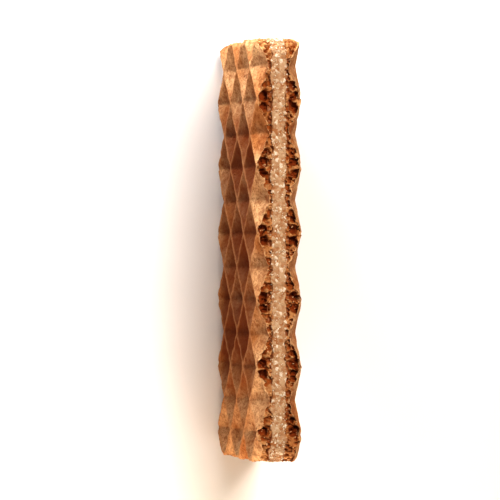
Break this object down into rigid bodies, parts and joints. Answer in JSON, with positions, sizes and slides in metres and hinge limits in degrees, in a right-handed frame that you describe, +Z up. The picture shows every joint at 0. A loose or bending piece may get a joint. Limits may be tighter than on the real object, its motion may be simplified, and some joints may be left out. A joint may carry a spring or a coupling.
{
  "type": "waffle cookie",
  "caption": "Rectangular filled waffle cookie standing on a long cut edge: crisp halves with square pits round a grainy sugar filling, open crumb at the cuts.",
  "frame": {"origin": "on the surface that the cookie stands on, under the middle of its long lower cut edge", "axes": "+X through the thickness towards the right half, +Y along the length, +Z up across the width, out of the upper cut edge"},
  "size_m": [0.0104, 0.0944, 0.0445],
  "materials": {
    "baked_waffle": "matt baked batter, tan on the ridges and deeper brown in the pits and the open crumb",
    "sugar_filling": "matt pale beige fat with coarse sugar grains"
  },
  "bodies": {
    "root": {"waffle_left": "baked_waffle", "waffle_right": "baked_waffle", "sugar_filling": "sugar_filling"}
  },
  "joints": []
}
